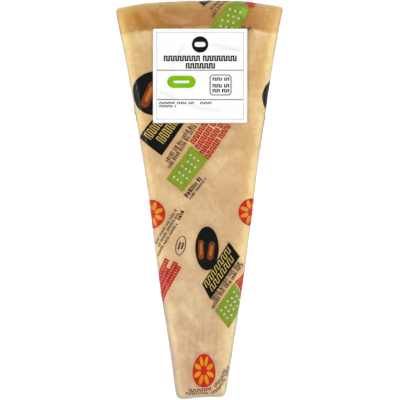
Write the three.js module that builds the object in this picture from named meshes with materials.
// A wedge of hard cheese cut from a wheel, vacuum-wrapped in clear film, with a square paper label on its
// broad upper face.
//
// Units are millimetres. +Z is up: the wedge lies on one broad face, with the label on the other.
// +Y points from the blunt tip to the rind. The origin is on the resting face, under the middle of the
// wedge's box.
import * as THREE from 'three';

// ---- Driving dimensions ------------------------------------------------------------------------------

const LENGTH = 180; // from the tip to the crown of the rind, at the resting face
const RIND_WIDTH = 76; // across the two corners of the rind
const TIP_WIDTH = 22.2; // across the blunt tip
const THICKNESS = 24; // from the resting face to the labelled face
const WHEEL_RADIUS = 214; // of the wheel that the wedge was cut from
const RIND_CROWN_X = 2; // the crown of the rind stands this far right of the middle
const RIND_LEAN = 1.2; // the wheel's side bulges, so the rind stands back this much at the labelled face
const TIP_SKEW = 1.3; // the tip's right corner is this much shorter than its left one
const TIP_OFFSET_X = 0.7; // the tip's middle is this far right of the rind's

const EDGE_RADIUS = 3.4; // of the film drawn round the cheese's long edges
const RIND_CORNER_CUT = 1.4; // how far each upright corner is rounded, measured along its sides
const TIP_CORNER_CUT = 3.2;

const LABEL_SIDE = 42.7;
const LABEL_THICKNESS = 0.35;
const LABEL_CORNER_RADIUS = 0.8;
const LABEL_CENTRE = new THREE.Vector2(0.3, 55.9);

// The cut sides run a little hollow, because the knife wandered. Each is given by its distance from a
// straight line between its two corners, at even shares of the way from the rind to the tip. A positive
// distance is inwards and a negative one outwards.
const RIGHT_HOLLOW = [1.2, 1.0, 0.1, -0.1];
const LEFT_HOLLOW = [1.35, 1.85, 1.35, 0.75];

// ---- How finely the round stretches are cut into flat facets -----------------------------------------

const RIND_STEPS = 28;
const SIDE_STEPS = 14;
const TIP_STEPS = 4;
const CORNER_STEPS = 5;
const EDGE_STEPS = 6; // from a broad face to the upright side
const WALL_STEPS = 8; // up the upright side
const LABEL_CORNER_STEPS = 4;

// ---- The four corners and the two cut sides ----------------------------------------------------------

const RIND_CENTRE = new THREE.Vector2(RIND_CROWN_X, LENGTH / 2 - WHEEL_RADIUS);

// The point of the rind's foot at a given distance from the wedge's middle line.
function onRindFoot(x) {
  const across = x - RIND_CENTRE.x;
  return new THREE.Vector2(x, RIND_CENTRE.y + Math.sqrt(WHEEL_RADIUS ** 2 - across ** 2));
}

const rindRight = onRindFoot(RIND_WIDTH / 2);
const rindLeft = onRindFoot(-RIND_WIDTH / 2);
const tipLeft = new THREE.Vector2(TIP_OFFSET_X - TIP_WIDTH / 2, -LENGTH / 2);
const tipRight = new THREE.Vector2(TIP_OFFSET_X + TIP_WIDTH / 2, -LENGTH / 2 + TIP_SKEW);

// One cut side as a smooth curve from a corner of the rind to a corner of the tip, through its hollows.
// The sign says on which hand the wedge's inside lies.
function cutSide(from, to, hollows, inwardSign) {
  const along = to.clone().sub(from);
  const inward = new THREE.Vector2(-along.y, along.x).setLength(inwardSign);
  const knots = hollows.map((hollow, i) => {
    const share = (i + 1) / (hollows.length + 1);
    return from.clone().addScaledVector(along, share).addScaledVector(inward, hollow);
  });
  return new THREE.SplineCurve([from, ...knots, to]);
}

const leftSide = cutSide(rindLeft, tipLeft, LEFT_HOLLOW, 1);
const rightSide = cutSide(rindRight, tipRight, RIGHT_HOLLOW, -1);

// ---- Plan outline at one height ----------------------------------------------------------------------

// A cut side's points from the rind to the tip, where the rind stands back by setback along it.
function sidePoints(curve, setback) {
  const start = setback / curve.getLength();
  const points = [];
  for (let i = 0; i <= SIDE_STEPS; i += 1) {
    points.push(curve.getPointAt(THREE.MathUtils.lerp(start, 1, i / SIDE_STEPS)));
  }
  return points;
}

// The wheel's arc from the right corner of the rind to the left one.
function rindPoints(right, left) {
  const halfChord = left.clone().sub(right).multiplyScalar(0.5);
  const depth = Math.sqrt(WHEEL_RADIUS ** 2 - halfChord.lengthSq());
  const toCentre = new THREE.Vector2(-halfChord.y, halfChord.x).setLength(depth);
  const centre = right.clone().add(halfChord).add(toCentre);
  const startAngle = right.clone().sub(centre).angle();
  const endAngle = left.clone().sub(centre).angle();
  const points = [];
  for (let i = 0; i <= RIND_STEPS; i += 1) {
    const angle = THREE.MathUtils.lerp(startAngle, endAngle, i / RIND_STEPS);
    points.push(new THREE.Vector2(Math.cos(angle), Math.sin(angle)).multiplyScalar(WHEEL_RADIUS).add(centre));
  }
  return points;
}

function tipPoints() {
  const points = [];
  for (let i = 0; i <= TIP_STEPS; i += 1) {
    points.push(tipLeft.clone().lerp(tipRight, i / TIP_STEPS));
  }
  return points;
}

// The four stretches of the outline, anticlockwise, each with how far the corner at its start is rounded.
function stretchesAt(setback) {
  const left = sidePoints(leftSide, setback);
  const right = sidePoints(rightSide, setback);
  return [
    { points: rindPoints(right[0], left[0]), cut: RIND_CORNER_CUT },
    { points: left, cut: RIND_CORNER_CUT },
    { points: tipPoints(), cut: TIP_CORNER_CUT },
    { points: [...right].reverse(), cut: TIP_CORNER_CUT },
  ];
}

// The inward direction at each point of a stretch.
function inwardDirections(points) {
  return points.map((point, i) => {
    const before = points[Math.max(i - 1, 0)];
    const after = points[Math.min(i + 1, points.length - 1)];
    const along = after.clone().sub(before).normalize();
    return new THREE.Vector2(-along.y, along.x);
  });
}

// Where the corner between two stretches goes when both of them move in by inset.
function movedCorner(before, after, inset) {
  const inwardBefore = before.inwards.at(-1);
  const inwardAfter = after.inwards[0];
  const reach = inset / (1 + inwardBefore.dot(inwardAfter));
  return after.points[0].clone().addScaledVector(inwardBefore.clone().add(inwardAfter), reach);
}

// A stretch moved in by inset, and drawn in along itself so that it still ends at both moved corners.
function movedStretch({ points, inwards }, inset, startCorner, endCorner) {
  const moved = points.map((point, i) => point.clone().addScaledVector(inwards[i], inset));
  const atStart = startCorner.clone().sub(moved[0]);
  const atEnd = endCorner.clone().sub(moved.at(-1));
  return moved.map((point, i) => {
    const share = i / (points.length - 1);
    return point.addScaledVector(atStart, 1 - share).addScaledVector(atEnd, share);
  });
}

// A corner cut by a smooth bend of a fixed number of points.
function roundedCorner(before, corner, after, cut) {
  const start = corner.clone().add(before.clone().sub(corner).setLength(cut));
  const end = corner.clone().add(after.clone().sub(corner).setLength(cut));
  return new THREE.QuadraticBezierCurve(start, corner, end).getPoints(CORNER_STEPS);
}

// The wedge's outline at one height: moved in all round by inset, with the rind stood back by setback.
function outlineAt(inset, setback) {
  const stretches = stretchesAt(setback);
  for (const stretch of stretches) {
    stretch.inwards = inwardDirections(stretch.points);
  }
  const corners = stretches.map((after, i) => movedCorner(stretches.at(i - 1), after, inset));
  const runs = stretches.map((stretch, i) => {
    return movedStretch(stretch, inset, corners[i], corners[(i + 1) % corners.length]);
  });
  return runs.flatMap((run, i) => {
    const cut = stretches[i].cut * (1 - inset / (2 * EDGE_RADIUS));
    return [...roundedCorner(runs.at(i - 1).at(-2), run[0], run[1], cut), ...run.slice(1, -1)];
  });
}

// ---- The wrapped wedge -------------------------------------------------------------------------------

// Heights and insets of the rings, from the resting face round the lower edge, up the side, and round the
// upper edge to the labelled face.
function rings() {
  const lower = [];
  for (let i = 0; i <= EDGE_STEPS; i += 1) {
    const angle = (i / EDGE_STEPS) * (Math.PI / 2);
    lower.push({ z: EDGE_RADIUS * (1 - Math.cos(angle)), inset: EDGE_RADIUS * (1 - Math.sin(angle)) });
  }
  const upper = lower.map(({ z, inset }) => ({ z: THICKNESS - z, inset })).reverse();
  const between = [];
  for (let i = 1; i < WALL_STEPS; i += 1) {
    const z = THREE.MathUtils.lerp(EDGE_RADIUS, THICKNESS - EDGE_RADIUS, i / WALL_STEPS);
    between.push({ z, inset: 0 });
  }
  return [...lower, ...between, ...upper];
}

// How far the rind stands back at a height, measured along the cut sides: nothing up to the lower edge's
// bend, and from there ever more, along the wheel's bulging side.
function rindSetback(z) {
  const rise = Math.max(0, (z - EDGE_RADIUS) / (THICKNESS - EDGE_RADIUS));
  return RIND_LEAN * rise ** 2;
}

function wedgeGeometry() {
  const levels = rings();
  const loops = levels.map((level) => outlineAt(level.inset, rindSetback(level.z)));
  const count = loops[0].length;
  const positions = [];
  loops.forEach((loop, k) => loop.forEach(({ x, y }) => positions.push(x, y, levels[k].z)));
  const index = [];
  for (let k = 0; k + 1 < loops.length; k += 1) {
    for (let i = 0; i < count; i += 1) {
      const next = (i + 1) % count;
      const [a, b] = [k * count + i, k * count + next];
      const [c, d] = [a + count, b + count];
      index.push(a, b, d, a, d, c);
    }
  }
  const lastLoop = (loops.length - 1) * count;
  for (const [a, b, c] of THREE.ShapeUtils.triangulateShape(loops[0], [])) {
    index.push(a, c, b);
  }
  for (const [a, b, c] of THREE.ShapeUtils.triangulateShape(loops.at(-1), [])) {
    index.push(lastLoop + a, lastLoop + b, lastLoop + c);
  }
  const geometry = new THREE.BufferGeometry();
  geometry.setAttribute('position', new THREE.Float32BufferAttribute(positions, 3));
  geometry.setIndex(index);
  geometry.computeVertexNormals();
  return geometry;
}

// ---- The label ---------------------------------------------------------------------------------------

function labelGeometry() {
  const corner = LABEL_SIDE / 2 - LABEL_CORNER_RADIUS;
  const shape = new THREE.Shape();
  for (let quarter = 0; quarter < 4; quarter += 1) {
    const start = (quarter * Math.PI) / 2;
    const x = quarter === 0 || quarter === 3 ? corner : -corner;
    const y = quarter < 2 ? corner : -corner;
    shape.absarc(x, y, LABEL_CORNER_RADIUS, start, start + Math.PI / 2, false);
  }
  shape.closePath();
  return new THREE.ExtrudeGeometry(shape, {
    depth: LABEL_THICKNESS,
    bevelEnabled: false,
    curveSegments: LABEL_CORNER_STEPS,
  });
}

// ---- The object --------------------------------------------------------------------------------------

const cheeseInFilm = new THREE.MeshStandardMaterial({ color: 0xdab685, roughness: 0.3, metalness: 0 });
const paper = new THREE.MeshStandardMaterial({ color: 0xf6f6f4, roughness: 0.55, metalness: 0 });

const sealedWedge = new THREE.Mesh(wedgeGeometry(), cheeseInFilm);
sealedWedge.name = 'sealed_wedge';

const label = new THREE.Mesh(labelGeometry(), paper);
label.name = 'label';
label.position.set(LABEL_CENTRE.x, LABEL_CENTRE.y, THICKNESS);

// Rounding the corners takes a little off one end, so the whole is moved back over the origin.
const middle = new THREE.Box3().setFromObject(sealedWedge).getCenter(new THREE.Vector3());
const chunk = new THREE.Group();
chunk.add(sealedWedge, label);
chunk.position.set(-middle.x, -middle.y, 0);

export default chunk;
